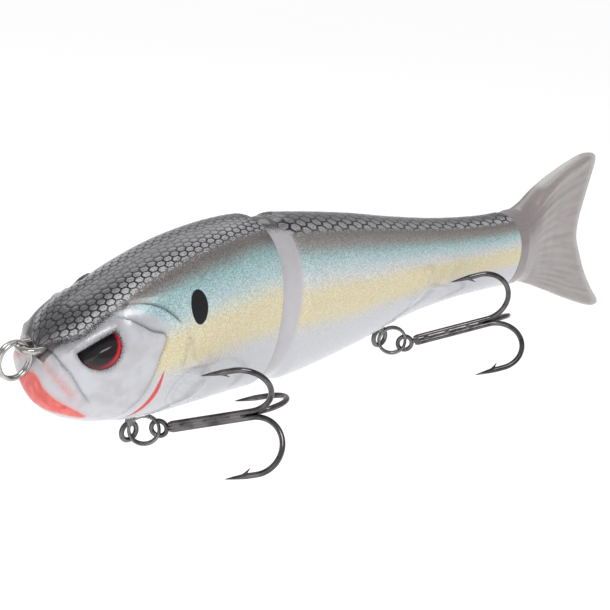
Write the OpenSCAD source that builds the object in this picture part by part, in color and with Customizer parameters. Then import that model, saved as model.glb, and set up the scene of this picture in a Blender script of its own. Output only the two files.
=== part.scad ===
// Two-section glide swimbait, 178 mm class, with a soft forked tail and two treble hooks.
// The origin is the middle of the line-tie bow. +X runs toward the tail and +Z toward the back.

/* [Body shells] */
// Wall thickness of the moulded shells
shell_wall = 2.0; // [1.6:0.1:2.4]
// Roundness of the body section: 2 is an ellipse, more is boxier
section_power = 2.15; // [2.05:0.05:2.3]
// Height of the widest point, as a share of the section's height
widest_at = 0.56; // [0.52:0.01:0.6]

/* [Body joint] */
// Rear edge of the front section
front_end = 54.8; // [54:0.1:55.5]
// Hinge pin axis, behind the line tie
pin_x = 59.2; // [58.8:0.1:59.6]
// Hinge pin diameter
pin_d = 2.4; // [2:0.1:2.6]
// Radial running clearance of the pin in the hinge eyes
pin_clearance = 0.05; // [0.03:0.01:0.09]
// Gap between the rear section's barrel and the front section's pocket
barrel_gap = 0.4; // [0.35:0.05:0.5]
// How far the barrel lies inside the outer skin
barrel_inset = 0.9; // [0.8:0.1:1.2]

/* [Eyes] */
// Diameter of the domed eyes
eye_d = 9.6; // [9:0.1:10]
// Height of an eye's dome above its rim
eye_dome = 1.5; // [1:0.1:2]

/* [Wire parts] */
// Wire of the line tie
tie_wire_d = 1.3; // [1.1:0.1:1.5]
// Wire of the hook hangers
hanger_wire_d = 1.1; // [1:0.1:1.2]
// Outer diameter of the line ring
line_ring_od = 8.0; // [7.6:0.1:8.4]
// Outer diameter of the hook rings
hook_ring_od = 6.8; // [6.6:0.1:7]

/* [Treble hooks] */
// Wire of a treble hook
hook_wire_d = 1.2; // [1.1:0.05:1.3]
// From the eye's centre to the outside of the bend
hook_length = 26; // [25:0.5:27]
// From the hook's axis to a point
hook_reach = 12.4; // [12:0.1:12.6]
// Length of a point, from the outside of the bend
point_length = 13; // [12:0.5:14]

/* [Soft tail] */
// Thickness of the tail blade
blade_t = 2.2; // [1.8:0.1:2.6]
// Axis on which the soft tail flexes
flex_x = 142.2; // [142:0.1:142.4]

/* [Hidden] */

round_fn = 48;
seat_gap = 0.02;

// Body outline: distance from the line tie, back, belly, half width
stations = [
    [3.4, -2.0, -7.5, 5.0],
    [3.9, 0.4, -10.2, 6.8],
    [5.0, 2.3, -12.4, 8.0],
    [7.5, 4.7, -14.3, 9.6],
    [10.5, 6.8, -15.6, 11.0],
    [14.5, 8.8, -16.7, 12.2],
    [24.5, 13.1, -18.0, 13.9],
    [37.5, 17.4, -17.6, 14.4],
    [51.5, 19.6, -17.1, 13.2],
    [65.5, 18.8, -16.9, 12.1],
    [84.5, 16.4, -13.2, 11.5],
    [99.5, 13.8, -9.3, 10.3],
    [114.5, 11.7, -7.5, 8.7],
    [129.5, 10.6, -7.0, 7.6],
    [140.5, 10.8, -7.3, 6.7]
];
BACK = 1;
BELLY = 2;
WIDTH = 3;
last_station = len(stations) - 1;

// Where the lofts of the two sections take a ring
front_rings = [3.4, 3.6, 3.9, 4.4, 5, 6, 7.5, 9, 10.5, 12.5, 14.5, 17.5, 21, 25, 29, 33, 37.5,
    42, 47, 51, front_end];
// Behind the pin the rear section stays as narrow as its barrel up to the shoulder
shoulder_x = 61.8;
neck_rings = [pin_x, 60.5, 62.2];
rear_rings = [shoulder_x, 63, 67, 72, 77, 82, 87, 92, 98, 104, 110, 117, 124, 131, 136.4];
front_hollow = [for (x = [18:4:38]) x];
rear_hollow = [for (x = [75:6:117]) x];
collar_rings = [136.4, 137.6, 138.8, 140.0];

// Hinge
eye_plate_t = 1.4;
eye_plate_r = 3.0;
slot_h = eye_plate_t + 0.8;
slot_r = eye_plate_r + 0.5;
tongue_w = 3.4;
tongue_end = 40.0;
swing_room = 38;
upper_eye_z = 10;
lower_eye_z = -8;
pin_bottom = -14;
pin_top = 16.5;

// Eyes
eye_at = [11.1, 9.5, 1.8];
eye_turn = [24, -29];
eye_seat_depth = 2.4;

// Wire parts
tie_bow_r = 2.4;
tie_tail = 13;
line_ring_wire = 0.85;
line_ring_tilt = 28;
hook_ring_wire = 0.7;
coil_pitch = 0.94;
hanger_od = 4.8;
hanger_stem_d = 1.9;
hook_eye_wire = 1.0;
hook_eye_od = 4.2;
point_cone = 4.2;
barb_length = 1.7;
hook_spread = 0.72;
// Brazed sleeve at the eye and brazed band before the bend: start, end, diameter
hook_sleeve = [1.5, 4.5, 2.9];
hook_band = [16.5, 18.5, 2.75];

// Hangers: place of the loop's middle, then how high the stem reaches
front_hanger = [27.7, 0, -22.5];
front_stem_top = -13;
rear_hanger = [98.4, 0, -14.2];
rear_stem_top = -3;

// Rings and hooks: heading to the side, then climb toward the tail
front_ring_turn = [-38, 10];
front_hook_turn = [-53, 19];
front_hook_spin = 116;
rear_ring_turn = [-36, -10];
rear_hook_turn = [-36, 19];
rear_hook_spin = 99;

// Inner weights
front_ballast_at = [33.2, 0, -9.5];
front_ballast_d = 8;
front_ballast_l = 12;
rear_ballast_at = [79, 0, -7.2];
rear_ballast_d = 6;
rear_ballast_l = 10;
cradle_wall = 1.2;
ball_d = 4.4;
front_balls_at = [26, 0, 1.5];
rear_balls_at = [90, 0, 2.5];

// Soft tail
peg_d = 6;
peg_z = 1.8;
peg_start = 122;
tail_pin_x = 128;
tail_pin_d = 1.6;
flex_r = 5.0;
flex_gap = 0.35;
fin_outline = [
    [142.2, 10.3], [148.5, 16.2], [155.5, 19.9], [162.5, 22.4], [166.4, 22.7], [168.6, 21.4],
    [167.7, 17.4], [166.1, 10.7], [165.2, 5.6], [165.6, 1.6], [167.5, -2.5], [171.5, -8.9],
    [175.6, -13.8], [179.2, -17.4], [178.2, -18.7], [172.3, -17.4], [163.5, -14.3],
    [154.8, -10.9], [148.0, -8.4], [142.2, -6.8]
];
// Wedge between the flexing root and the blade: place, half width, foot, head
fin_wedge = [
    [142.2, 5.0, -6.4, 9.9],
    [145.5, 4.3, -6.7, 11.4],
    [149.5, 3.2, -7.4, 12.6],
    [154.0, 2.1, -7.6, 13.0],
    [159.0, 1.3, -6.6, 11.4]
];

// Cubic outline through the stations
function segment(x, i = 0) = (i >= last_station - 1 || x < stations[i + 1][0]) ? i : segment(x, i + 1);
function rise(i, j, k) = (stations[j][k] - stations[i][k]) / (stations[j][0] - stations[i][0]);
function grade(i, k) = rise(max(i - 1, 0), min(i + 1, last_station), k);
function hermite(t, a, b, grade_a, grade_b) =
    (2 * t ^ 3 - 3 * t ^ 2 + 1) * a + (t ^ 3 - 2 * t ^ 2 + t) * grade_a
    + (3 * t ^ 2 - 2 * t ^ 3) * b + (t ^ 3 - t ^ 2) * grade_b;
function outline(x, k) =
    let (i = segment(x), step = stations[i + 1][0] - stations[i][0])
    hermite((x - stations[i][0]) / step, stations[i][k], stations[i + 1][k],
        step * grade(i, k), step * grade(i + 1, k));
function middle(x) = outline(x, BELLY) + (outline(x, BACK) - outline(x, BELLY)) * widest_at;

// A point of the section at x: angle from -90 at the belly to 90 at the back
function squash(v) = sign(v) * abs(v) ^ (2 / section_power);
function skin_y(x, angle, inset) = (outline(x, WIDTH) - inset) * squash(cos(angle));
function skin_z(x, angle, inset) =
    middle(x) + squash(sin(angle))
    * ((angle > 0 ? outline(x, BACK) - middle(x) : middle(x) - outline(x, BELLY)) - inset);
function half_width(x, z, inset = 0) =
    let (span = (z > middle(x) ? outline(x, BACK) - middle(x) : middle(x) - outline(x, BELLY)) - inset)
    (outline(x, WIDTH) - inset)
    * max(0, 1 - (abs(z - middle(x)) / span) ^ section_power) ^ (1 / section_power);

// One side of the body as a solid: rings at xs, closed by a flat face at y = -overlap
module half_loft(xs, inset = 0, overlap = 0, steps = 20) {
    count = steps + 1;
    points = [for (x = xs) for (j = [0:steps])
        let (angle = -90 + 180 * j / steps)
        [x, j == 0 || j == steps ? -overlap : skin_y(x, angle, inset), skin_z(x, angle, inset)]];
    sides = [for (r = [0:len(xs) - 2]) for (j = [0:steps - 1])
        let (a = r * count + j, b = a + count)
        each [[a, b, b + 1], [a, b + 1, a + 1]]];
    flats = [for (r = [0:len(xs) - 2])
        let (a = r * count, b = a + count)
        [a + steps, b + steps, b, a]];
    first_cap = [for (j = [0:steps]) j];
    last_cap = [for (j = [steps:-1:0]) (len(xs) - 1) * count + j];
    polyhedron(points, concat(sides, flats, [first_cap, last_cap]));
}

// Solid of revolution that follows the body section at the hinge pin, turned through sweep
module barrel(inset, sweep = 360) {
    foot = outline(pin_x, BELLY) + inset;
    head = outline(pin_x, BACK) - inset;
    profile = [for (j = [0:24])
        let (angle = -90 + 7.5 * j)
        [j == 0 || j == 24 ? 0 : skin_y(pin_x, angle, inset), skin_z(pin_x, angle, inset)]];
    translate([pin_x, 0, 0])
        rotate_extrude(angle = sweep, $fn = 96)
            polygon(concat([[0, head], [0, foot]], [for (j = [1:23]) profile[j]]));
}

// A rod of diameter d from x0 to x1
module rod_x(x0, x1, d, y = 0, z = 0) {
    translate([x0, y, z])
        rotate([0, 90, 0])
            cylinder(h = x1 - x0, d = d, $fn = round_fn);
}

// A rod across the body
module rod_y(at, length, d) {
    translate(at)
        rotate([90, 0, 0])
            cylinder(h = length, d = d, center = true, $fn = round_fn);
}

// Wire hoop with its axis along Y
module hoop(od, wire) {
    rotate([90, 0, 0])
        rotate_extrude($fn = round_fn)
            translate([(od - wire) / 2, 0])
                circle(d = wire, $fn = 24);
}

// Split ring of two coils side by side, with its axis along Y
module split_ring(od, wire) {
    rotate([90, 0, 0])
        rotate_extrude($fn = round_fn)
            for (side = [-1, 1])
                translate([(od - wire) / 2, side * wire * coil_pitch / 2])
                    circle(d = wire, $fn = 24);
}

// Moves things into a frame headed by turn = [to the side, upward]
module headed(turn) {
    rotate([0, 0, turn[0]])
        rotate([0, -turn[1], 0])
            children();
}

function heading(turn) = [cos(turn[1]) * cos(turn[0]), cos(turn[1]) * sin(turn[0]), sin(turn[1])];
hook_ring_r = (hook_ring_od - hook_ring_wire) / 2;
hook_bend_r = (hook_reach - hook_spread) / 2;
hook_bend_x = hook_length - hook_bend_r - hook_wire_d / 2;
front_hook_at = front_hanger + 2 * hook_ring_r * heading(front_ring_turn);
rear_hook_at = rear_hanger + 2 * hook_ring_r * heading(rear_ring_turn);

// ---- Hinge cuts ----

module hinge_tongue(z, spare = 0) {
    translate([tongue_end, -tongue_w / 2 - spare, z - eye_plate_t / 2 - spare])
        cube([pin_x - eye_plate_r * 0.7 - tongue_end, tongue_w + 2 * spare, eye_plate_t + 2 * spare]);
}

// Room for a hinge eye to swing inside the barrel
module swing_slot(z) {
    reach = 26;
    translate([0, 0, z - slot_h / 2]) {
        translate([pin_x, 0, 0])
            cylinder(h = slot_h, r = slot_r, $fn = round_fn);
        linear_extrude(slot_h)
            polygon([
                [pin_x + 2, 0],
                [pin_x - reach * cos(swing_room), -reach * sin(swing_room) - tongue_w / 2],
                [pin_x - reach, 0],
                [pin_x - reach * cos(swing_room), reach * sin(swing_room) + tongue_w / 2]
            ]);
    }
}

module pin_hole() {
    translate([pin_x, 0, pin_bottom])
        cylinder(h = 40, d = pin_d + 2 * seat_gap, $fn = round_fn);
}

// ---- Sockets and cradles ----

module eye_frame() {
    translate(eye_at)
        rotate([eye_turn[0], 0, -eye_turn[1]])
            rotate([-90, 0, 0])
                children();
}

module eye_socket() {
    eye_frame()
        translate([0, 0, -eye_seat_depth])
            cylinder(h = 12, d = eye_d + 2 * seat_gap, $fn = round_fn);
}

module tie_grooves() {
    rod_x(0, tie_tail + seat_gap, tie_wire_d + 2 * seat_gap, tie_bow_r);
}

module stem_hole(at, top) {
    translate([at[0], 0, at[2]])
        cylinder(h = top - at[2] + seat_gap, d = hanger_stem_d + 2 * seat_gap, $fn = round_fn);
}

// Half of a box that holds a cylinder lying across the body and runs into the shell's wall
module cradle(at, d) {
    foot = at[2] - d / 2 - cradle_wall;
    translate([at[0] - d / 2 - cradle_wall, 0, foot])
        cube([d + 2 * cradle_wall, half_width(at[0], foot, shell_wall / 2), d + 2 * cradle_wall]);
}

module stem_block(at, top, width) {
    foot = outline(at[0], BELLY) + 1;
    translate([at[0] - width / 2, 0, foot])
        cube([width, width / 2, top + 1.5 - foot]);
}

// ---- Front section ----

module front_half() {
    difference() {
        union() {
            difference() {
                half_loft(front_rings);
                half_loft(front_hollow, shell_wall, 0.5, 12);
            }
            cradle(front_ballast_at, front_ballast_d);
            cradle(front_balls_at, ball_d);
            stem_block(front_hanger, front_stem_top, 5);
        }
        barrel(barrel_inset - barrel_gap);
        for (z = [upper_eye_z, lower_eye_z])
            hinge_tongue(z, seat_gap);
        eye_socket();
        tie_grooves();
        stem_hole(front_hanger, front_stem_top);
        rod_y(front_ballast_at, front_ballast_l + 2 * seat_gap, front_ballast_d + 2 * seat_gap);
        rod_y(front_balls_at, 3 * ball_d + 0.4, ball_d + 0.2);
    }
}

module front_shell_left() {
    color([0.78, 0.82, 0.82])
        mirror([0, 1, 0])
            front_half();
}

module front_shell_right() {
    color([0.78, 0.82, 0.82])
        front_half();
}

// Domed eye: a short drum under a cap cut from a sphere
module eye() {
    dome_r = (eye_d ^ 2 / 4 + eye_dome ^ 2) / (2 * eye_dome);
    eye_frame() {
        translate([0, 0, -eye_seat_depth])
            cylinder(h = eye_seat_depth, d = eye_d, $fn = round_fn);
        intersection() {
            translate([0, 0, eye_dome - dome_r])
                sphere(r = dome_r, $fn = 96);
            cylinder(h = eye_dome + 1, d = eye_d, $fn = round_fn);
        }
    }
}

module eye_left() {
    color("black")
        mirror([0, 1, 0])
            eye();
}

module eye_right() {
    color("black")
        eye();
}

// U of wire: the bow stands out of the mouth, the legs are moulded in
module line_tie() {
    color("silver") {
        translate([tie_bow_r, 0, 0])
            rotate([0, 0, 90])
                rotate_extrude(angle = 180, $fn = round_fn)
                    translate([tie_bow_r, 0])
                        circle(d = tie_wire_d, $fn = 24);
        for (side = [-1, 1])
            rod_x(tie_bow_r, tie_tail, tie_wire_d, side * tie_bow_r);
    }
}

module line_ring() {
    hang = line_ring_od / 2 - line_ring_wire - tie_wire_d / 2 - 0.15;
    color("silver")
        rotate([0, line_ring_tilt, 0])
            translate([0, 0, -hang])
                split_ring(line_ring_od, line_ring_wire);
}

// Loop and stem of a hook hanger
module hanger(at, top) {
    translate(at) {
        hoop(hanger_od, hanger_wire_d);
        translate([0, 0, hanger_od / 2 - hanger_wire_d * 0.8])
            cylinder(h = top - at[2] - hanger_od / 2 + hanger_wire_d * 0.8, d = hanger_stem_d,
                $fn = round_fn);
    }
}

module front_hook_hanger() {
    color("dimgray")
        hanger(front_hanger, front_stem_top);
}

module front_ballast() {
    color("gray")
        rod_y(front_ballast_at, front_ballast_l, front_ballast_d);
}

module balls(at) {
    for (i = [-1:1])
        translate(at + [0, i * (ball_d + 0.1), 0])
            sphere(d = ball_d, $fn = round_fn);
}

module front_rattle_balls() {
    color("lightgray")
        balls(front_balls_at);
}

module hinge_eye(z) {
    difference() {
        union() {
            hinge_tongue(z);
            translate([pin_x, 0, z - eye_plate_t / 2])
                cylinder(h = eye_plate_t, r = eye_plate_r, $fn = round_fn);
        }
        translate([pin_x, 0, z - eye_plate_t])
            cylinder(h = 2 * eye_plate_t, d = pin_d + 2 * pin_clearance, $fn = round_fn);
    }
}

module upper_hinge_eye() {
    color("silver")
        hinge_eye(upper_eye_z);
}

module lower_hinge_eye() {
    color("silver")
        hinge_eye(lower_eye_z);
}

// ---- Rear section ----

module rear_half() {
    difference() {
        union() {
            difference() {
                union() {
                    half_loft(neck_rings, barrel_inset);
                    half_loft(rear_rings);
                }
                half_loft(rear_hollow, shell_wall, 0.5, 12);
            }
            barrel(barrel_inset, 180);
            cradle(rear_ballast_at, rear_ballast_d);
            cradle(rear_balls_at, ball_d);
            stem_block(rear_hanger, rear_stem_top, 5);
        }
        for (z = [upper_eye_z, lower_eye_z])
            swing_slot(z);
        pin_hole();
        stem_hole(rear_hanger, rear_stem_top);
        rod_y(rear_ballast_at, rear_ballast_l + 2 * seat_gap, rear_ballast_d + 2 * seat_gap);
        rod_y(rear_balls_at, 3 * ball_d + 0.4, ball_d + 0.2);
        rod_x(peg_start - seat_gap, 150, peg_d + 2 * seat_gap, 0, peg_z);
        rod_y([tail_pin_x, 0, peg_z], tail_pin_length() + 2 * seat_gap, tail_pin_d + 2 * seat_gap);
    }
}

module rear_shell_left() {
    color([0.85, 0.84, 0.76])
        mirror([0, 1, 0])
            rear_half();
}

module rear_shell_right() {
    color([0.85, 0.84, 0.76])
        rear_half();
}

module hinge_pin() {
    color("silver")
        translate([pin_x, 0, pin_bottom])
            cylinder(h = pin_top - pin_bottom, d = pin_d, $fn = round_fn);
}

module rear_hook_hanger() {
    color("dimgray")
        hanger(rear_hanger, rear_stem_top);
}

module rear_ballast() {
    color("gray")
        rod_y(rear_ballast_at, rear_ballast_l, rear_ballast_d);
}

module rear_rattle_balls() {
    color("lightgray")
        balls(rear_balls_at);
}

// ---- Rings and treble hooks ----

module hook_ring(at, turn) {
    color("silver")
        translate(at)
            headed(turn)
                translate([hook_ring_r, 0, 0])
                    rotate([90, 0, 0])
                        split_ring(hook_ring_od, hook_ring_wire);
}

module front_hook_ring() {
    hook_ring(front_hanger, front_ring_turn);
}

module rear_hook_ring() {
    hook_ring(rear_hanger, rear_ring_turn);
}

// Round bar along a path in the XZ plane: each step is [x, z, heading, radius]
module bent_bar(path, sides = 12) {
    points = [for (p = path) for (j = [0:sides - 1])
        let (out = p[3] * cos(360 * j / sides))
        [p[0] - out * sin(p[2]), p[3] * sin(360 * j / sides), p[1] + out * cos(p[2])]];
    skin = [for (k = [0:len(path) - 2]) for (j = [0:sides - 1])
        let (a = k * sides + j, b = k * sides + (j + 1) % sides)
        each [[a, b, b + sides], [a, b + sides, a + sides]]];
    first_cap = [for (j = [sides - 1:-1:0]) j];
    last_cap = [for (j = [0:sides - 1]) (len(path) - 1) * sides + j];
    polyhedron(points, concat(skin, [first_cap, last_cap]));
}

// One wire of the treble: shank, round bend, straight point with a barb
module hook_wire() {
    wire_r = hook_wire_d / 2;
    tip_x = hook_length - point_length;
    bend = [for (angle = [0:12:180])
        [hook_bend_x + hook_bend_r * sin(angle), hook_spread + hook_bend_r * (1 - cos(angle)),
            angle, wire_r]];
    bent_bar(concat(
        [[hook_sleeve[1] - 1, hook_spread, 0, wire_r]],
        bend,
        [[tip_x + point_cone, hook_reach, 180, wire_r], [tip_x, hook_reach, 180, 0.06]]
    ));
    translate([tip_x + point_cone - 0.4, 0, hook_reach - 0.1])
        rotate([0, 125, 0])
            cylinder(h = barb_length, d1 = 0.8, d2 = 0.15, $fn = 16);
}

module treble(at, turn, spin) {
    color([0.22, 0.22, 0.24])
        translate(at)
            headed(turn) {
                hoop(hook_eye_od, hook_eye_wire);
                rod_x(hook_sleeve[0], hook_sleeve[1], hook_sleeve[2]);
                rod_x(hook_band[0], hook_band[1], hook_band[2]);
                for (i = [0:2])
                    rotate([spin - 90 + 120 * i, 0, 0])
                        hook_wire();
            }
}

module front_treble_hook() {
    treble(front_hook_at, front_hook_turn, front_hook_spin);
}

module rear_treble_hook() {
    treble(rear_hook_at, rear_hook_turn, rear_hook_spin);
}

// ---- Soft tail ----

function tail_pin_length() = 2 * half_width(tail_pin_x, peg_z) - 3;

// Peg and collar, the part of the soft tail that the rear section grips
module tail_root() {
    color([0.62, 0.58, 0.56])
        difference() {
            union() {
                rod_x(peg_start, collar_rings[0] + 0.3, peg_d, 0, peg_z);
                half_loft(collar_rings);
                mirror([0, 1, 0])
                    half_loft(collar_rings);
            }
            translate([flex_x, 0, -20])
                cylinder(h = 60, r = flex_r + flex_gap, $fn = 64);
            rod_y([tail_pin_x, 0, peg_z], 20, tail_pin_d + 2 * seat_gap);
        }
}

module tail_pin() {
    color("silver")
        rod_y([tail_pin_x, 0, peg_z], tail_pin_length(), tail_pin_d);
}

// Wedge of rectangular sections that thins toward the blade
module wedge(rows) {
    points = [for (p = rows) each [[p[0], p[1], p[2]], [p[0], p[1], p[3]], [p[0], -p[1], p[3]],
        [p[0], -p[1], p[2]]]];
    sides = [for (r = [0:len(rows) - 2]) for (j = [0:3])
        let (a = 4 * r + j, b = 4 * r + (j + 1) % 4)
        each [[a, a + 4, b + 4], [a, b + 4, b]]];
    end = 4 * (len(rows) - 1);
    polyhedron(points, concat(sides, [[0, 1, 2, 3], [end + 3, end + 2, end + 1, end]]));
}

module tail_fin() {
    color([0.62, 0.58, 0.56]) {
        translate([flex_x, 0, fin_wedge[0][2]])
            cylinder(h = fin_wedge[0][3] - fin_wedge[0][2], r = flex_r, $fn = 64);
        wedge(fin_wedge);
        rotate([90, 0, 0])
            linear_extrude(blade_t, center = true)
                polygon(fin_outline);
    }
}

front_shell_left();
front_shell_right();
eye_left();
eye_right();
line_tie();
line_ring();
front_hook_hanger();
front_ballast();
front_rattle_balls();
upper_hinge_eye();
lower_hinge_eye();
front_hook_ring();
front_treble_hook();
rear_shell_left();
rear_shell_right();
hinge_pin();
rear_hook_hanger();
rear_ballast();
rear_rattle_balls();
rear_hook_ring();
rear_treble_hook();
tail_root();
tail_pin();
tail_fin();
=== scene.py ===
import math

import bmesh
import bpy
import numpy as np
from mathutils import Matrix, Vector


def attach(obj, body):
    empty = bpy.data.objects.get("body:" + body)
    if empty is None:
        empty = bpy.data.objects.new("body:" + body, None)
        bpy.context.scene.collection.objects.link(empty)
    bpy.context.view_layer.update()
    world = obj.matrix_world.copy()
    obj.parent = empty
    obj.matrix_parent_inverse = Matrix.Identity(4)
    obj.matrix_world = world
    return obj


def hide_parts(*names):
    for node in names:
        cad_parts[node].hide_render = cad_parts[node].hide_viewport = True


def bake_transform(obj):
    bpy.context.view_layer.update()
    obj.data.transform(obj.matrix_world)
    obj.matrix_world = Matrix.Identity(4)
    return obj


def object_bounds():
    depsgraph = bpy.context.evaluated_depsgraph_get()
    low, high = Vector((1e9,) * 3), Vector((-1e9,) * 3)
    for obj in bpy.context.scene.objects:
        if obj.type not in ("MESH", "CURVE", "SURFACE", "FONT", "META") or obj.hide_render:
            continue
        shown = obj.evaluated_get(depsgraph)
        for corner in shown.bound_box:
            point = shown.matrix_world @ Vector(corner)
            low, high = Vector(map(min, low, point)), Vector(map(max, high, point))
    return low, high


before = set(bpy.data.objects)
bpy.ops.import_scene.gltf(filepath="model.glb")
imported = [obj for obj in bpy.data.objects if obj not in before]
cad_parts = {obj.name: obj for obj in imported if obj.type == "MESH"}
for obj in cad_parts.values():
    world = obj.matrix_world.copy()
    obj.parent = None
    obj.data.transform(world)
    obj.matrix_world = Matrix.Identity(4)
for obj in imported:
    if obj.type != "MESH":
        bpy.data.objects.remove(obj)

# Two-section swimbait with a soft tail. Lengths are in millimetres until a mesh is made, and MM turns
# them into metres. +X runs toward the tail, +Z toward the back, +Y toward the fish's right side.
# The origin is the line tie's bow.
MM = 0.001
CAD_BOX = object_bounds()

# Body outline, as in the CAD: place, back, belly, half width
STATIONS = np.array([
    [3.4, -2.0, -7.5, 5.0], [3.9, 0.4, -10.2, 6.8], [5.0, 2.3, -12.4, 8.0],
    [7.5, 4.7, -14.3, 9.6], [10.5, 6.8, -15.6, 11.0], [14.5, 8.8, -16.7, 12.2],
    [24.5, 13.1, -18.0, 13.9], [37.5, 17.4, -17.6, 14.4], [51.5, 19.6, -17.1, 13.2],
    [65.5, 18.8, -16.9, 12.1], [84.5, 16.4, -13.2, 11.5], [99.5, 13.8, -9.3, 10.3],
    [114.5, 11.7, -7.5, 8.7], [129.5, 10.6, -7.0, 7.6], [140.5, 10.8, -7.3, 6.7],
])
BACK, BELLY, WIDTH = 1, 2, 3
SECTION_POWER = 2.15
WIDEST_AT = 0.56
FRONT_START, FRONT_END = 3.4, 54.8
PIN_X = 59.2
REAR_END = 136.4
BARREL_INSET = 0.9
# Heights of the hinge eyes, and the slots for them in the barrel: height, radius and swing
HINGE_EYES = (10.0, -8.0)
SLOT_H, SLOT_R, SLOT_SWING = 2.2, 3.5, math.radians(62)
POCKET_INSET = 0.5
SHOULDER = (60.0, 63.4)
BARE_TOP = (84.0, 52.0)
NOSE_BULGE = 0.12
SHELL_GAP = 0.01
# Edges that turn by more than this, in radians, are shaded sharp, and closer points are joined, in metres
SHARP_EDGE = 0.9
JOIN_WITHIN = 2e-6

# Eye: centre, outward direction, and the opening under the brow in the eye's own plane
EYE_AT = np.array([11.1, 9.5, 1.8])
EYE_OUT = np.array([-0.443, 0.799, 0.407])
EYE_R = 4.75
EYE_RIM, EYE_TOP = -0.35, 1.0
OPENING_R = 4.4
BROW_FROM = np.array([-4.05, -1.2])
BROW_SLOPE = math.radians(30.4)
SOCKET_FLOOR = -1.7
BROW_OVERLAP, BROW_SINK = 0.3, 1.35

# Lines on the flank, each point as place and girth angle in degrees (-90 belly, 0 widest, 90 back)
GILL_UPPER = [(17.3, 55), (19.0, 53), (20.8, 49), (22.7, 43), (24.5, 36), (26.2, 27), (28.0, 17)]
GILL_SECOND = [(14.9, 51), (17.0, 43), (19.0, 33), (21.2, 23), (23.9, 15)]
CHEEK_EDGE = [(23.9, 15), (22.8, 2), (21.6, -10), (20.6, -22), (19.2, -35), (17.2, -50), (14.6, -64)]
GILL_SLIT = [(24.3, -10), (23.9, -19), (23.5, -27), (22.7, -37), (21.6, -49), (20.2, -62), (18.8, -76)]
JAW = [(4.1, 56), (4.4, 31), (5.2, 14), (6.2, 0), (7.7, -15), (9.5, -27), (10.6, -34)]
LIP = [(3.5, 26), (3.8, 8), (4.5, -8), (5.7, -24), (7.4, -36)]
BROW_SHADE = [(4.4, 74), (5.3, 60), (6.8, 52), (8.6, 48), (10.6, 49), (12.4, 52), (14.4, 54), (16.6, 50)]
FIN_RAY = [(27.5, -14), (33.6, -17), (38.4, -17)]
FOLD = [(27.5, -13), (28.3, -4), (29.0, 5), (30.0, -3), (31.1, -11)]
VENT_RAY = [(101.0, -11), (105.5, -16), (110.3, -21)]
VENT_RIDGE = [(100.4, 12), (100.2, 2), (99.4, -8), (97.2, -18), (93.7, -25)]
# Red on the chin and pink along the lip, in space
THROAT = [(3.0, 0.0, -8.6), (3.9, 1.4, -9.6), (4.6, 4.0, -10.5), (6.1, 5.7, -11.5),
          (7.9, 6.4, -12.2), (10.2, 6.6, -13.2)]
PINK = [(3.3, 3.4, -2.6), (3.5, 5.4, -3.4), (4.1, 7.2, -4.5), (5.3, 8.1, -6.2),
        (7.0, 8.6, -8.2), (8.9, 8.5, -10.4)]
SPOT_AT, SPOT_SIZE = (32.1, 25.0), (1.9, 13.5)
PECTORAL_AT, PECTORAL_SIZE = (31.6, -32.0), (5.0, 17.0)


# ---- Body form ----

def outline(x, column):
    """Back, belly or half width at each place, by the CAD's cubic through the stations."""
    place, value = STATIONS[:, 0], STATIONS[:, column]
    last = len(place) - 1
    before, after = np.maximum(np.arange(last + 1) - 1, 0), np.minimum(np.arange(last + 1) + 1, last)
    grade = (value[after] - value[before]) / (place[after] - place[before])
    i = np.clip(np.searchsorted(place, x, side="right") - 1, 0, last - 1)
    step = place[i + 1] - place[i]
    t = (x - place[i]) / step
    return ((2 * t**3 - 3 * t**2 + 1) * value[i] + (t**3 - 2 * t**2 + t) * step * grade[i]
            + (3 * t**2 - 2 * t**3) * value[i + 1] + (t**3 - t**2) * step * grade[i + 1])


def squash(v):
    return np.sign(v) * np.abs(v) ** (2 / SECTION_POWER)


def skin(x, girth, inset=0.0):
    """Points on the +Y side of the body at each place and girth angle."""
    x, girth = np.broadcast_arrays(np.asarray(x, float), np.asarray(girth, float))
    angle = np.radians(girth)
    back, belly = outline(x, BACK), outline(x, BELLY)
    middle = belly + (back - belly) * WIDEST_AT
    span = np.where(girth > 0, back - middle, middle - belly) - inset
    y = (outline(x, WIDTH) - inset) * np.maximum(squash(np.cos(angle)), 0)
    return np.stack([x, y, middle + squash(np.sin(angle)) * span], axis=-1)


def smooth(value, low, high):
    t = np.clip((value - low) / (high - low), 0, 1)
    return t * t * (3 - 2 * t)


def spline(points, steps=14):
    """Catmull-Rom curve through the points."""
    p = np.array([points[0], *points, points[-1]], float)
    t = np.linspace(0, 1, steps, endpoint=False)[:, None]
    parts = [0.5 * (2 * b + (c - a) * t + (2 * a - 5 * b + 4 * c - d) * t**2
                    + (3 * b - a - 3 * c + d) * t**3)
             for a, b, c, d in zip(p, p[1:], p[2:], p[3:])]
    return np.vstack([*parts, p[-2:-1]])


def nearest(points, line):
    """Distance from each point to a line on the skin, and how far along the line it is, from 0 to 1."""
    curve = spline(line)
    on_skin = skin(curve[:, 0], curve[:, 1])
    distance = np.full(len(points), np.inf)
    along = np.zeros(len(points))
    for k, q in enumerate(on_skin):
        d = np.linalg.norm(points - q, axis=1)
        closer = d < distance
        distance[closer], along[closer] = d[closer], k / (len(on_skin) - 1)
    return distance, along


def nearest_path(points, line):
    """Distance from each point to a curve in space, and how far along it is, from 0 to 1."""
    curve = spline(line, 6)
    gaps = np.linalg.norm(points[:, None] - curve[None], axis=2)
    return gaps.min(axis=1), gaps.argmin(axis=1) / (len(curve) - 1)


def line_place(girth, points):
    """Place of a line on the flank at each girth angle."""
    at = np.array(sorted(points, key=lambda p: p[1]))
    return np.interp(girth, at[:, 1], at[:, 0])


def side_of(x, girth, line):
    """Positive behind the line, toward the tail, in millimetres of place."""
    return x - line_place(girth, spline(line).tolist())


def bump(distance, width):
    return np.exp(-((distance / width) ** 2))


# ---- Scales ----

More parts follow.
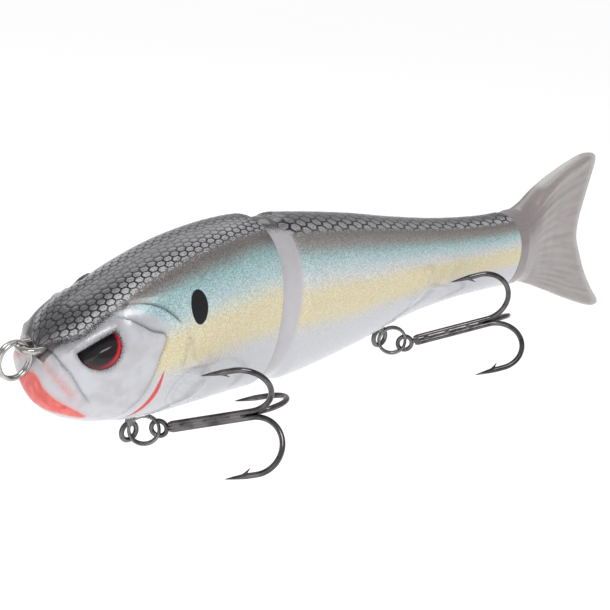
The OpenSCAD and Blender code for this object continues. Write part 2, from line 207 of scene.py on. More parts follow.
# The pattern of scales changes at the joint, and the rear one has the same pitch all along
SCALES_CHANGE_AT = 57.0
REAR_PITCH = 2.7


def scale_bound(x):
    """Girth angle above which the scales show."""
    return np.interp(x, [3.4, 5.0, 6.8, 8.5, 12.0, 15.0, 18.0, 24.0, 38.0, 55.0, 60.0, 90.0, 136.0],
                     [84.0, 64.0, 54.0, 49.0, 51.0, 54.0, 58.0, 63.0, 64.0, 64.0, 57.0, 60.0, 62.0])


def scale_place(x, arc):
    """Hexagon coordinates: neighbouring scales are one unit apart."""
    front = x < SCALES_CHANGE_AT
    pitch = np.where(front, np.interp(x, [3.4, 12.0, 24.0, 50.0], [1.45, 1.75, 1.9, 2.0]), REAR_PITCH)
    travel = np.where(front, np.interp(x, [3.4, 12.0, 24.0, 55.0], [0.0, 5.4, 12.0, 28.2]), x / REAR_PITCH)
    turn = np.radians(np.where(front, -15.0, 30.0))
    squeeze = np.where(front, np.interp(x, [3.4, 15.0, 30.0, 50.0], [1.05, 1.15, 1.3, 1.4]), 1.15)
    across = arc / pitch * squeeze
    return travel * np.cos(turn) - across * np.sin(turn), travel * np.sin(turn) + across * np.cos(turn)


def hexagon(u, v):
    """Distance from each point to its hexagon's edge, 0.5 at the middle."""
    tall = math.sqrt(3)
    au, av = np.mod(u, 1) - 0.5, np.mod(v, tall) - tall / 2
    bu, bv = np.mod(u - 0.5, 1) - 0.5, np.mod(v - tall / 2, tall) - tall / 2
    first = au**2 + av**2 < bu**2 + bv**2
    gu, gv = np.abs(np.where(first, au, bu)), np.abs(np.where(first, av, bv))
    return 0.5 - np.maximum(gu, gu * 0.5 + gv * tall / 2)


# ---- Meshes ----

def object_from(name, points, faces, material, fields=None):
    """A mesh object from points in millimetres. fields are named values per point."""
    mesh = bpy.data.meshes.new(name)
    mesh.from_pydata((np.asarray(points) * MM).tolist(), [], faces)
    for key, values in (fields or {}).items():
        values = np.asarray(values, np.float32)
        if values.ndim == 1:
            mesh.attributes.new(key, "FLOAT", "POINT").data.foreach_set("value", values)
        else:
            mesh.attributes.new(key, "FLOAT_VECTOR", "POINT").data.foreach_set("vector", values.ravel())
    form = bmesh.new()
    form.from_mesh(mesh)
    bmesh.ops.remove_doubles(form, verts=form.verts, dist=JOIN_WITHIN)
    bmesh.ops.recalc_face_normals(form, faces=form.faces)
    for edge in form.edges:
        edge.smooth = len(edge.link_faces) == 2 and edge.calc_face_angle() < SHARP_EDGE
    form.to_mesh(mesh)
    form.free()
    mesh.polygons.foreach_set("use_smooth", [True] * len(mesh.polygons))
    mesh.materials.append(material)
    obj = bpy.data.objects.new(name, mesh)
    bpy.context.scene.collection.objects.link(obj)
    return obj


def grid_faces(columns, rows, closed_rows=False):
    """Quads of a grid stored column by column."""
    last = rows if closed_rows else rows - 1
    return [(c * rows + r, (c + 1) * rows + r, (c + 1) * rows + (r + 1) % rows, c * rows + (r + 1) % rows)
            for c in range(columns - 1) for r in range(last)]


def tube(path, radius, sides=20, closed=False):
    """Points and faces of a round bar along a path, with a radius for each of its points."""
    path = np.asarray(path, float)
    radius = np.broadcast_to(radius, len(path))
    ahead = np.roll(path, -1, axis=0) - path
    behind = path - np.roll(path, 1, axis=0)
    if not closed:
        ahead[-1], behind[0] = behind[-1], ahead[0]
    tangent = ahead + behind
    tangent /= np.linalg.norm(tangent, axis=1)[:, None]
    seed = np.array([0.0, 1.0, 0.0]) if abs(tangent[0][1]) < 0.9 else np.array([1.0, 0.0, 0.0])
    across = np.cross(tangent[0], seed)
    turn = np.linspace(0, 2 * math.pi, sides, endpoint=False)
    rings = []
    for p, t, r in zip(path, tangent, radius):
        across = across - t * np.dot(across, t)
        across /= np.linalg.norm(across)
        up = np.cross(t, across)
        rings.append(p + r * (np.cos(turn)[:, None] * across + np.sin(turn)[:, None] * up))
    faces = grid_faces(len(path), sides, closed_rows=True)
    if closed:
        first = (len(path) - 1) * sides
        faces += [(first + k, k, (k + 1) % sides, first + (k + 1) % sides) for k in range(sides)]
    else:
        faces += [tuple(range(sides))[::-1], tuple((len(path) - 1) * sides + k for k in range(sides))]
    return np.vstack(rings), faces


def joined(parts):
    """Several (points, faces) as one."""
    points, faces, start = [], [], 0
    for p, f in parts:
        points.append(p)
        faces += [tuple(i + start for i in face) for face in f]
        start += len(p)
    return np.vstack(points), faces


def turned(points, yaw=0.0, pitch=0.0, roll=0.0):
    """Rolls points about X, pitches +X upward, then yaws about Z, in degrees."""
    m = (Matrix.Rotation(math.radians(yaw), 3, "Z") @ Matrix.Rotation(math.radians(-pitch), 3, "Y")
         @ Matrix.Rotation(math.radians(roll), 3, "X"))
    return np.asarray(points) @ np.array(m).T


# ---- Materials ----

class Nodes:
    """Short names for building a node tree."""

    def __init__(self, name):
        self.material = bpy.data.materials.new(name)
        self.material.use_nodes = True
        self.tree = self.material.node_tree
        self.shader = self.tree.nodes["Principled BSDF"]
        self.place = self.tree.nodes.new("ShaderNodeTexCoord").outputs["Object"]

    def node(self, kind, **settings):
        made = self.tree.nodes.new(kind)
        for key, value in settings.items():
            setattr(made, key, value)
        return made

    def link(self, value, socket):
        if isinstance(value, bpy.types.NodeSocket):
            self.tree.links.new(value, socket)
        elif isinstance(value, (tuple, list)) and len(value) == 3 and socket.type == "RGBA":
            socket.default_value = (*value, 1.0)
        else:
            socket.default_value = value

    def feed(self, node, **inputs):
        for key, value in inputs.items():
            self.link(value, node.inputs[key.replace("_", " ")])
        return node

    def set(self, **inputs):
        self.feed(self.shader, **inputs)

    def field(self, name):
        return self.node("ShaderNodeAttribute", attribute_name=name).outputs["Fac"]

    def vector(self, name):
        return self.node("ShaderNodeAttribute", attribute_name=name).outputs["Vector"]

    def math(self, operation, a, b=0.0, clamp=False):
        made = self.node("ShaderNodeMath", operation=operation, use_clamp=clamp)
        self.link(a, made.inputs[0])
        self.link(b, made.inputs[1])
        return made.outputs[0]

    def add(self, a, b):
        return self.math("ADD", a, b)

    def minus(self, a, b):
        return self.math("SUBTRACT", a, b)

    def times(self, a, b, clamp=False):
        return self.math("MULTIPLY", a, b, clamp)

    def smooth(self, value, low, high, to_low=0.0, to_high=1.0):
        made = self.node("ShaderNodeMapRange", interpolation_type="SMOOTHSTEP")
        self.feed(made, Value=value, From_Min=low, From_Max=high, To_Min=to_low, To_Max=to_high)
        return made.outputs["Result"]

    def mix(self, amount, a, b, blend="MIX"):
        made = self.node("ShaderNodeMix", data_type="RGBA", blend_type=blend)
        self.link(amount, made.inputs["Factor"])
        self.link(a, made.inputs[6])
        self.link(b, made.inputs[7])
        return made.outputs[2]

    def ramp(self, value, stops):
        made = self.node("ShaderNodeValToRGB")
        points = made.color_ramp.elements
        while len(points) < len(stops):
            points.new(0.5)
        for point, (at, colour) in zip(points, stops):
            point.position = at
            point.color = (*colour, 1.0)
        self.link(value, made.inputs["Fac"])
        return made.outputs["Color"]

    def noise(self, size, detail=2.0, at=None):
        """Noise with features about size millimetres across."""
        made = self.node("ShaderNodeTexNoise")
        self.feed(made, Vector=at or self.place, Scale=1 / (size * MM), Detail=detail)
        return made.outputs["Fac"]

    def flakes(self, size):
        """A random number for each flake of about size millimetres."""
        made = self.feed(self.node("ShaderNodeTexVoronoi"), Vector=self.place, Scale=1 / (size * MM))
        split = self.feed(self.node("ShaderNodeSeparateColor"), Color=made.outputs["Color"])
        return split.outputs["Red"]

    def bump(self, height, strength, distance):
        made = self.node("ShaderNodeBump")
        self.feed(made, Strength=strength, Distance=distance * MM, Height=height)
        self.set(Normal=made.outputs["Normal"])


PEARL = (0.575, 0.58, 0.615)
YELLOW = (0.68, 0.605, 0.40)
PALE_BLUE = (0.48, 0.60, 0.63)
TEAL = (0.31, 0.475, 0.50)
BROWN_GREY = (0.20, 0.18, 0.172)
DARK_GREY = (0.07, 0.068, 0.075)
SCALE_GREY = (0.24, 0.24, 0.26)
# Silver of the scales, which also stands in for painted reflection on the head
SCALE_SILVER_AND_REFLECTION = (0.82, 0.82, 0.85)
LINE_BLACK = (0.006, 0.0055, 0.0065)
BARE_GREY = (0.50, 0.485, 0.51)
RED = (0.68, 0.055, 0.045)
RED_LIGHT = (0.78, 0.16, 0.13)


def share(girth):
    """A girth angle as a share of the way from belly to back."""
    return (girth + 90) / 180


def hexagon_nodes(n, place):
    """The same hexagon distance as hexagon(), in nodes."""
    tall = math.sqrt(3)

    def cell(shift):
        moved = n.node("ShaderNodeVectorMath", operation="SUBTRACT")
        n.link(place, moved.inputs[0])
        moved.inputs[1].default_value = shift
        wrapped = n.node("ShaderNodeVectorMath", operation="WRAP")
        n.link(moved.outputs[0], wrapped.inputs[0])
        wrapped.inputs[1].default_value = (0.5, tall / 2, 1)
        wrapped.inputs[2].default_value = (-0.5, -tall / 2, -1)
        parts = n.node("ShaderNodeSeparateXYZ")
        n.link(wrapped.outputs[0], parts.inputs[0])
        u = n.math("ABSOLUTE", parts.outputs["X"])
        v = n.math("ABSOLUTE", parts.outputs["Y"])
        slanted = n.add(n.times(u, 0.5), n.times(v, tall / 2))
        return n.math("MAXIMUM", u, slanted)

    nearest_cell = n.math("MINIMUM", cell((0.5, tall / 2, 0)), cell((0, 0, 0)))
    return n.minus(0.5, nearest_cell)


def body_paint(name, bands):
    """Airbrushed coat: colour bands by girth, outlined scales, speckle, shading lines with painted shade,
    red and a spot.
    """
    n = Nodes(name)
    girth, above = n.field("girth"), n.field("above")
    grain = n.minus(n.noise(0.27, 1.0), 0.5)
    flake = n.minus(n.flakes(0.18), 0.5)
    scatter = n.add(n.times(grain, 20.0), n.times(flake, 5.0))
    drift = n.times(n.minus(n.noise(9.0), 0.5), 5.0)
    level = n.math("MULTIPLY_ADD", n.add(n.add(girth, scatter), drift), 1 / 180)
    level.node.inputs[2].default_value = 0.5
    colour = n.ramp(level, [(share(at), shade) for at, shade in bands])

    # Glitter is strongest on the blue and brown, and faint on the belly
    sparkle = n.smooth(girth, -40.0, 35.0, 0.08, 0.36)
    glitter = n.mix(n.smooth(flake, -0.5, 0.5), (0.05, 0.05, 0.06), (1.0, 1.0, 0.97))
    colour = n.mix(sparkle, colour, glitter, "OVERLAY")
    cheek = n.smooth(n.add(n.field("cheek"), n.times(grain, 0.8)), 0.3, 0.8)
    # Pearl face mottled with darker grey patches: pearl paint together with painted reflection
    face = n.mix(n.smooth(n.noise(3.2, 3.0), 0.35, 0.7), PEARL, (0.50, 0.49, 0.515))
    colour = n.mix(cheek, colour, face)

    # Scales: silver near the edge of the pattern on the head, with painted reflection making them brightest
    # toward the nose, grey over the back, outlined in black
    edge = hexagon_nodes(n, n.vector("scale"))
    show = n.smooth(n.add(above, n.times(grain, 2.6)), -0.35, 0.75)
    silver = n.field("silver")
    scale_colour = n.mix(silver, SCALE_GREY, SCALE_SILVER_AND_REFLECTION)
    scale_colour = n.mix(n.smooth(above, 1.0, 3.4), scale_colour, (0.115, 0.115, 0.127))
    mottle = n.mix(n.smooth(grain, -0.25, 0.25), (0.1, 0.1, 0.1), (0.9, 0.9, 0.9))
    scale_colour = n.mix(0.5, scale_colour, mottle, "OVERLAY")
    scaled = n.mix(n.times(show, 0.92), colour, scale_colour)
    outline_show = n.times(show, n.smooth(above, 4.2, 1.2, 0.9, 1.0))
    dark_edge = n.smooth(n.add(edge, n.times(grain, 0.05)), 0.15, 0.065)
    faint_edge = n.times(dark_edge, n.smooth(silver, 0.4, 1.0, 1.0, 0.8))
    colour = n.mix(n.times(faint_edge, outline_show), scaled, LINE_BLACK)
    colour = n.mix(n.field("snout"), colour, DARK_GREY)

    # Airbrushed lines together with painted shade in grooves, recesses and under the belly, then red and
    # the spot
    shade = n.times(n.field("shade"), n.smooth(grain, -0.22, 0.2, 1.25, 0.55), clamp=True)
    colour = n.mix(shade, colour, (0.05, 0.045, 0.045))
    red = n.mix(n.smooth(n.noise(2.4, 2.0), 0.35, 0.7), RED, RED_LIGHT)
    blush = n.add(n.field("red"), n.times(grain, 0.35))
    colour = n.mix(n.smooth(blush, 0.02, 1.0), colour, red)
    slit = n.smooth(n.field("slit"), -0.06, 0.10)
    colour = n.mix(slit, colour, (0.72, 0.08, 0.07))
    spot = n.smooth(n.field("spot"), 1.03, 0.97)
    colour = n.mix(spot, colour, (0.006, 0.006, 0.008))
    bare = n.smooth(n.add(n.field("bare"), n.times(grain, 0.7)), 0.2, 0.8)
    colour = n.mix(bare, colour, n.mix(n.noise(2.0), BARE_GREY, (0.56, 0.55, 0.575)))

    n.set(Base_Color=colour, Coat_Weight=0.55, Coat_Roughness=0.05, Specular_IOR_Level=0.2)
    n.set(Roughness=n.smooth(flake, -0.5, 0.5, 0.28, 0.5), Metallic=n.smooth(girth, 10.0, 50.0, 0.0, 0.25))
    n.bump(n.add(grain, flake), 0.06, 0.03)
    return n.material


def front_paint():
    return body_paint("front_paint", [
        (-90, PEARL), (-16, PEARL), (-8, YELLOW), (9, YELLOW), (17, (0.60, 0.635, 0.56)), (24, PALE_BLUE),
        (36, (0.38, 0.54, 0.565)), (43, TEAL), (49, (0.26, 0.31, 0.31)), (55, BROWN_GREY),
        (65, (0.15, 0.14, 0.137)), (76, DARK_GREY),
    ])


def rear_paint():
    return body_paint("rear_paint", [
        (-90, PEARL), (-18, PEARL), (-9, YELLOW), (6, YELLOW), (13, (0.62, 0.62, 0.585)),
        (19, (0.57, 0.625, 0.645)), (26, PALE_BLUE), (34, (0.385, 0.53, 0.55)), (40, (0.32, 0.37, 0.37)),
        (46, (0.30, 0.275, 0.26)), (57, (0.20, 0.187, 0.18)), (70, DARK_GREY),
    ])


def metal(name, base, roughness, tint, scratch_size=0.5):
    """Plated wire: fine draw marks and slight tarnish."""
    n = Nodes(name)
    marks = n.noise(scratch_size, 4.0)
    clouds = n.noise(3.0, 2.0)
    colour = n.mix(n.smooth(clouds, 0.35, 0.7), base, tint)
    dull = n.smooth(marks, 0.3, 0.7, roughness * 0.6, roughness * 1.5)
    n.set(Base_Color=colour, Metallic=1.0, Roughness=dull)
    n.bump(marks, 0.06, 0.02)
    return n.material


def eye_material():
    """Painted eye under a clear dome: black pupil, red iris rim, dark edge; the rim is painted bright on
    its upper, tail-ward side and dark below, as painted light and shade.
    """
    n = Nodes("eye_paint")
    uneven = n.times(n.minus(n.noise(0.5, 3.0), 0.5), 0.06)
    ring = n.add(n.field("ring"), uneven)
    dark = n.ramp(ring, [
        (0.0, (0.004, 0.004, 0.005)), (0.80, (0.006, 0.004, 0.005)), (0.88, (0.05, 0.004, 0.008)),
        (0.94, (0.13, 0.006, 0.012)), (1.0, (0.03, 0.004, 0.006)),
    ])
    bright = n.ramp(ring, [
        (0.0, (0.004, 0.004, 0.005)), (0.80, (0.012, 0.004, 0.006)), (0.86, (0.30, 0.008, 0.018)),
        (0.90, (0.74, 0.012, 0.03)), (0.97, (0.66, 0.012, 0.028)), (1.0, (0.25, 0.008, 0.012)),
    ])
    # Painted light and shade: the lit iris on the upper, tail-ward side, the shaded iris below
    colour = n.mix(n.field("iris_lit_side"), dark, bright)
    n.set(Base_Color=colour, Roughness=0.3, Coat_Weight=0.7, Coat_Roughness=0.03, Specular_IOR_Level=0.15)
    n.bump(n.noise(0.4, 2.0), 0.03, 0.02)
    return n.material


def tail_material():
    """Smoky soft plastic with darker rays, paler margins and small specks."""
    n = Nodes("soft_tail")
    ray, out, margin = n.field("ray"), n.field("out"), n.field("margin")
    place = n.node("ShaderNodeCombineXYZ")
    n.link(n.times(ray, 0.030), place.inputs["X"])
    n.link(n.times(out, 0.004), place.inputs["Y"])
    streak = n.noise(1.1, 3.0, at=place.outputs[0])
    body = n.mix(n.smooth(out, 0.0, 0.75), (0.28, 0.247, 0.247), (0.36, 0.325, 0.32))
    colour = n.mix(n.smooth(streak, 0.42, 0.66, 0.0, 0.42), body, (0.24, 0.205, 0.21))
    colour = n.mix(n.smooth(margin, 0.55, 1.0, 0.0, 0.85), colour, (0.50, 0.49, 0.48))
    specks = n.times(n.smooth(n.noise(0.7, 1.0), 0.69, 0.76), 0.45)
    colour = n.mix(specks, colour, (0.16, 0.14, 0.15))
    n.set(Base_Color=colour, Roughness=0.3, Subsurface_Weight=0.25, Subsurface_Scale=0.002)
    n.set(Coat_Weight=0.35, Coat_Roughness=0.12)
    n.bump(n.add(streak, n.noise(0.35, 2.0)), 0.06, 0.04)
    return n.material


def floor_material():
    n = Nodes("pale_floor")
    n.set(Base_Color=n.mix(n.noise(60.0, 3.0), (0.71, 0.71, 0.71), (0.73, 0.73, 0.73)), Roughness=1.0)
    n.set(Specular_IOR_Level=0.0, Emission_Color=(1.0, 1.0, 1.0, 1.0), Emission_Strength=0.62)
    return n.material


# ---- Front and rear shells ----

def brow_height(p, q):
    """How far a point of the eye's plane lies above the brow line."""
    return -(p - BROW_FROM[0]) * math.sin(BROW_SLOPE) + (q - BROW_FROM[1]) * math.cos(BROW_SLOPE)


def eye_plane():
    """The two directions of the eye's plane: toward the tail and upward."""
    across = np.cross(EYE_OUT, [0, 0, 1])
    across = across / np.linalg.norm(across) * (1 if across[0] > 0 else -1)
    up = np.cross(across, EYE_OUT)
    return across, up / np.linalg.norm(up) * (1 if up[2] > 0 else -1)


def set_eye_socket(points):
    """Sinks the skin inside the eye's opening and raises the brow and the lower lid."""
    across, up = eye_plane()
    from_eye = points - EYE_AT
    p, q, h = from_eye @ across, from_eye @ up, from_eye @ EYE_OUT
    near = (np.hypot(p, q) < 11) & (h > -6)
    above = brow_height(p, q)
    radial = np.hypot(p, q) - OPENING_R
    outside = np.maximum(radial, above)
    reach = smooth(np.hypot(p + 0.3, q), 8.2, 4.4)
    brow = 0.45 * bump(above - 1.1, 1.25) * (above > -1.5) * reach
    lid = 0.35 * bump(radial - 0.7, 0.8) * (above < 1.0)
    cut = smooth(outside, -0.42, 0.02)
    lifted = h + np.where(outside > -0.5, brow + lid, 0)
    height = np.where(near, SOCKET_FLOOR + (lifted - SOCKET_FLOOR) * cut, h)
    moved = points + (height - h)[:, None] * EYE_OUT
    by_rim = bump(np.maximum(outside, 0) - 0.1, 0.75) * smooth(p, -4.5, 2.0)
    rim_shade = np.where(near & (above < 0.6), by_rim, 0)
    corner_shade = np.where(near, bump(np.maximum(outside, 0), 0.35), 0)
    return np.where(near[:, None], moved, points), np.clip(0.45 * rim_shade + 0.35 * corner_shade, 0, 1)


def tapered(along):
    """Fades a line at both ends."""
    return smooth(along, 0.0, 0.18) * smooth(along, 1.0, 0.82)


def add_ridge(points, line, height, rise, width, shade, dark, foot, blur):
    """Raises a line over the skin, and shades it at its foot on both sides."""
    d, along = nearest(points, line)
    height += rise * bump(d, width) * tapered(along)
    shade += dark * bump(d - foot, blur) * tapered(along)


def oval(x, girth, at, size):
    """0 at the middle of an oval on the flank and 1 on its rim."""
    return np.hypot((x - at[0]) / size[0], (girth - at[1]) / size[1])


def red_paint(points):
    """Red lens on the chin that narrows toward the tail, and a pink band beside it."""
    to_throat, along = nearest_path(points, THROAT)
    to_pink, beside = nearest_path(points, PINK)
    outside = to_throat - np.interp(along, [0.0, 0.25, 0.6, 1.0], [3.2, 2.9, 1.9, 0.7])
    red = 0.9 * smooth(outside, 0.6, -0.6) + 0.32 * smooth(outside, 2.6, 0.0)
    return np.clip(red + 0.40 * bump(to_pink, 1.3) * smooth(beside, 1.0, 0.7), 0, 1)


def snout_paint(points):
    """Dark overspray on top of the nose."""
    over = smooth(points[:, 2] - 0.25 * np.abs(points[:, 1]), -1.6, 1.2)
    return 0.7 * over * smooth(points[:, 0], 7.5, 4.5)


def front_relief(points, x, girth):
    """Height of the moulded detail over the front skin, and its paint fields."""
    height = np.zeros(len(points))
    shade = np.zeros(len(points))
    d, along = nearest(points, GILL_UPPER)
    behind = side_of(x, girth, GILL_UPPER) > 0
    height += tapered(along) * np.where(behind, -0.5 * np.exp(-d / 1.5), 0.3 * np.exp(-d / 2.2))
    shade += tapered(along) * (0.85 * bump(d, 0.26) + 0.30 * bump(d, 0.9) * behind)

    plate = CHEEK_EDGE[::-1] + GILL_SECOND[:-1][::-1]
    d, along = nearest(points, plate)
    behind = side_of(x, girth, plate) > 0
    height += tapered(along) * np.where(behind, -0.45 * np.exp(-d / 1.4), 0.35 * np.exp(-d / 3.0))
    shade += tapered(along) * (np.where(girth > 14, 0.55, 0.28) * bump(d, 0.24) + 0.16 * bump(d, 0.8))

    d, along = nearest(points, GILL_SLIT)
    slit = 0.62 * np.sin(math.pi * along**0.9) ** 0.8 - d
    height -= 0.45 * smooth(slit, -0.2, 0.2)

    d, along = nearest(points, [(3.62, 89), (3.75, 76)] + JAW)
    height -= 0.5 * bump(d, 0.42) * smooth(along, 1.0, 0.8)
    jaw_shade = 0.55 * bump(d, 0.2) + 0.28 * bump(d, 0.8) * smooth(along, 0.65, 0.15)
    shade += smooth(along, 1.0, 0.75) * jaw_shade
    d, along = nearest(points, LIP)
    height += 0.35 * bump(d, 0.9) * tapered(along)

    d, along = nearest(points, BROW_SHADE)
    shade += tapered(along) * (0.6 * bump(d, 0.45) + 0.55 * bump(d, 1.5))
    # Airbrushed darkening on top toward the joint, and painted shade under the belly
    shade += 0.35 * smooth(x, 50.0, 54.5) * bump(girth - 58.0, 9.0) + 0.10 * smooth(girth, -62.0, -86.0)

    fin = oval(x, girth, PECTORAL_AT, PECTORAL_SIZE)
    rays = np.sin(18 * np.arctan2((girth - PECTORAL_AT[1] - 12) * 0.25, x - PECTORAL_AT[0] + 6.5))
    height += smooth(fin, 1.10, 0.86) * (0.20 + 0.035 * rays)
    rims = 0.22 * bump(fin - 1.0, 0.05) + 0.12 * bump(fin - 0.72, 0.04)
    shade += rims + 0.05 * smooth(fin, 1.0, 0.9) * smooth(rays, 0.2, 0.9)
    add_ridge(points, FIN_RAY, height, 0.3, 0.45, shade, 0.20, 0.35, 0.2)
    add_ridge(points, FOLD, height, 0.32, 0.55, shade, 0.20, 0.3, 0.28)

    in_plate = smooth(line_place(girth, plate) - x, -0.4, 0.4) * smooth(girth, 56.0, 50.0)
    in_upper = smooth(line_place(girth, GILL_UPPER) - x, -0.4, 4.0) * smooth(girth, 12.0, 20.0)
    cheek = np.maximum(in_plate, 0.75 * in_upper * smooth(girth, 58.0, 52.0))
    return height, {"shade": shade, "slit": slit, "red": red_paint(points), "cheek": cheek,
                    "spot": oval(x, girth, SPOT_AT, SPOT_SIZE), "snout": snout_paint(points)}


def rear_relief(points, x, girth):
    """The same for the rear skin."""
    height = np.zeros(len(points))
    shade = np.zeros(len(points))
    add_ridge(points, VENT_RAY, height, 0.25, 0.5, shade, 0.16, 0.3, 0.25)
    add_ridge(points, VENT_RIDGE, height, 0.45, 1.9, shade, 0.07, 1.2, 0.8)
    shade += 0.25 * smooth(x, 132.5, 136.2) * smooth(girth, 50.0, 75.0)
    bare = smooth(x + 0.03 * np.abs(girth) * (girth < 0), 62.6, 59.6) * smooth(girth, *BARE_TOP)
    return height, {"shade": shade, "bare": bare}


def skin_grid(places, girths, inset, relief):
    """The detailed skin as a grid of points, with its paint fields."""
    base = skin(places[:, None], girths[None, :], inset[:, None])
    steps = np.linalg.norm(np.diff(base, axis=1), axis=2)
    arc = np.concatenate([np.zeros((len(places), 1)), np.cumsum(steps, axis=1)], axis=1)
    arc -= arc[:, np.argmin(np.abs(girths - 50.0))][:, None]
    out = np.cross(np.gradient(base, places, axis=0), np.gradient(base, axis=1))
    out /= np.maximum(np.linalg.norm(out, axis=2), 1e-9)[..., None]
    flat = base.reshape(-1, 3)
    x, girth = [np.broadcast_to(v, base.shape[:2]).ravel() for v in (places[:, None], girths[None, :])]
    height, fields = relief(flat, x, girth)
    above = (girth - scale_bound(x)) / 8
    u, v = scale_place(x, arc.ravel())
    domed = 0.05 * smooth(hexagon(u, v), 0.0, 0.26) * smooth(above, -0.1, 0.5)
    height = height + domed
    points = flat - height[:, None] * out.reshape(-1, 3)
    points[:, 1] = np.where(np.abs(girth) > 89.9, 0, np.maximum(points[:, 1], 0))
    silver = smooth(above, 2.6, 0.0)
    scale = np.stack([u, v, np.zeros(len(u))], axis=1)
    fields.update(girth=girth, above=above, scale=scale, silver=silver)
    return points.reshape(base.shape), fields


# Paint fields of a shell, with their values where a block doesn't give them
PLAIN = {"girth": -80.0, "above": -9.0, "silver": 0.0, "shade": 0.0, "slit": -1.0, "red": 0.0,
         "cheek": 0.0, "spot": 9.0, "snout": 0.0, "bare": 0.0}


def shell_mesh(name, side, blocks, material):
    """Half of a section, closed flat on the middle plane. blocks are (points grid, fields) along it."""
    grid = np.concatenate([points for points, _ in blocks], axis=0)
    columns, rows = grid.shape[:2]
    values = {key: [] for key in PLAIN}
    scale = []
    for points, fields in blocks:
        count = points.shape[0] * points.shape[1]
        for key, plain in PLAIN.items():
            values[key].append(np.broadcast_to(fields.get(key, plain), count))
        scale.append(np.broadcast_to(fields.get("scale", np.zeros(3)), (count, 3)))
    fields = {key: np.concatenate(parts) for key, parts in values.items()}
    fields["scale"] = np.concatenate(scale)
    points = grid.reshape(-1, 3).copy()
    points[:, 1] = np.maximum(points[:, 1], 0) + SHELL_GAP
    points[:, 1] *= side
    rim = [c * rows for c in range(columns)] + [(columns - 1) * rows + r for r in range(1, rows)]
    rim += [c * rows + rows - 1 for c in range(columns - 2, -1, -1)] + list(range(rows - 2, 0, -1))
    faces = grid_faces(columns, rows) + [tuple(rim)]
    return object_from(name, points, faces, material, fields)


def fade_silver(fields, places, at, shares):
    """Scales the silver by a share that changes along the body; the high share on the head is painted
    reflection.
    """
    rows = len(fields["silver"]) // len(places)
    fields["silver"] = fields["silver"] * np.interp(np.repeat(places, rows), at, shares)


def front_blocks():
    """Nose, skin with the eye's socket, and rear face with the pocket for the barrel."""
    girths = np.linspace(-90, 90, 211)
    places = np.concatenate([np.linspace(FRONT_START, 5.4, 18, endpoint=False),
                             np.linspace(5.4, 17.0, 60, endpoint=False), np.linspace(17.0, FRONT_END, 160)])
    inset = 0.28 * smooth(places, FRONT_END - 0.6, FRONT_END) ** 2
    points, fields = skin_grid(places, girths, inset, front_relief)
    # Painted reflection: the head's scales are brightest, fading toward the joint
    fade_silver(fields, places, [5, 16, 22, 32, 50], [1.0, 0.95, 0.7, 0.45, 0.3])
    points, rim_shade = set_eye_socket(points.reshape(-1, 3))
    points[:, 1] = np.maximum(points[:, 1], 0)
    fields["shade"] = np.clip(fields["shade"] + rim_shade, 0, 0.95)
    points = points.reshape(len(places), len(girths), 3)

    # Rounded nose between the first ring and its middle
    ring = points[0]
    centre = np.array([FRONT_START - NOSE_BULGE, 0.0, -4.9])
    share_out = np.linspace(0.02, 1, 14, endpoint=False)[:, None, None]
    nose = centre + (ring - centre)[None] * share_out
    nose[..., 0] = FRONT_START - NOSE_BULGE * (1 - share_out[..., 0] ** 3)
    on_nose = nose.reshape(-1, 3)
    mouth = {"girth": -60.0, "cheek": 1.0, "red": red_paint(on_nose), "snout": snout_paint(on_nose)}

    # Rear face and the pocket for the rear section's barrel
    rim = points[-1]
    profile = skin(PIN_X, girths, POCKET_INSET)
    order = np.argsort(profile[:, 2])
    radius = np.interp(rim[:, 2], profile[order, 2], profile[order, 1], left=0, right=0)
    depth = PIN_X - FRONT_END
    open_here = radius > depth
    start = np.where(open_here, np.arccos(np.clip(-depth / np.maximum(radius, depth), -1, 1)), math.pi)
    turn = start[None] + (math.pi - start[None]) * np.linspace(0, 1, 16)[:, None]
    x = np.where(open_here[None], PIN_X + radius[None] * np.cos(turn), FRONT_END)
    flat_y = np.minimum(rim[None, :, 1], depth) * np.linspace(1, 0, 16)[:, None]
    y = np.where(open_here[None], np.minimum(radius[None] * np.sin(turn), rim[None, :, 1]), flat_y)
    pocket = np.stack([x, y, np.broadcast_to(rim[:, 2], x.shape)], axis=-1)
    inside = {"girth": -80.0, "bare": 1.0, "shade": 0.1}
    return [(nose, mouth), (points, fields), (pocket, inside)]


def slot_girths():
    """Girth angles just inside and outside the edges of the hinge slots in the barrel."""
    back, belly = outline(PIN_X, BACK), outline(PIN_X, BELLY)
    middle = belly + (back - belly) * WIDEST_AT
    edges = [z + way * SLOT_H / 2 + nudge for z in HINGE_EYES for way in (-1, 1) for nudge in (-0.01, 0.01)]
    girths = []
    for z in edges:
        up = (z - middle) / ((back - middle if z > middle else middle - belly) - BARREL_INSET)
        girths.append(math.degrees(math.copysign(math.asin(abs(up) ** (SECTION_POWER / 2)), up)))
    return girths


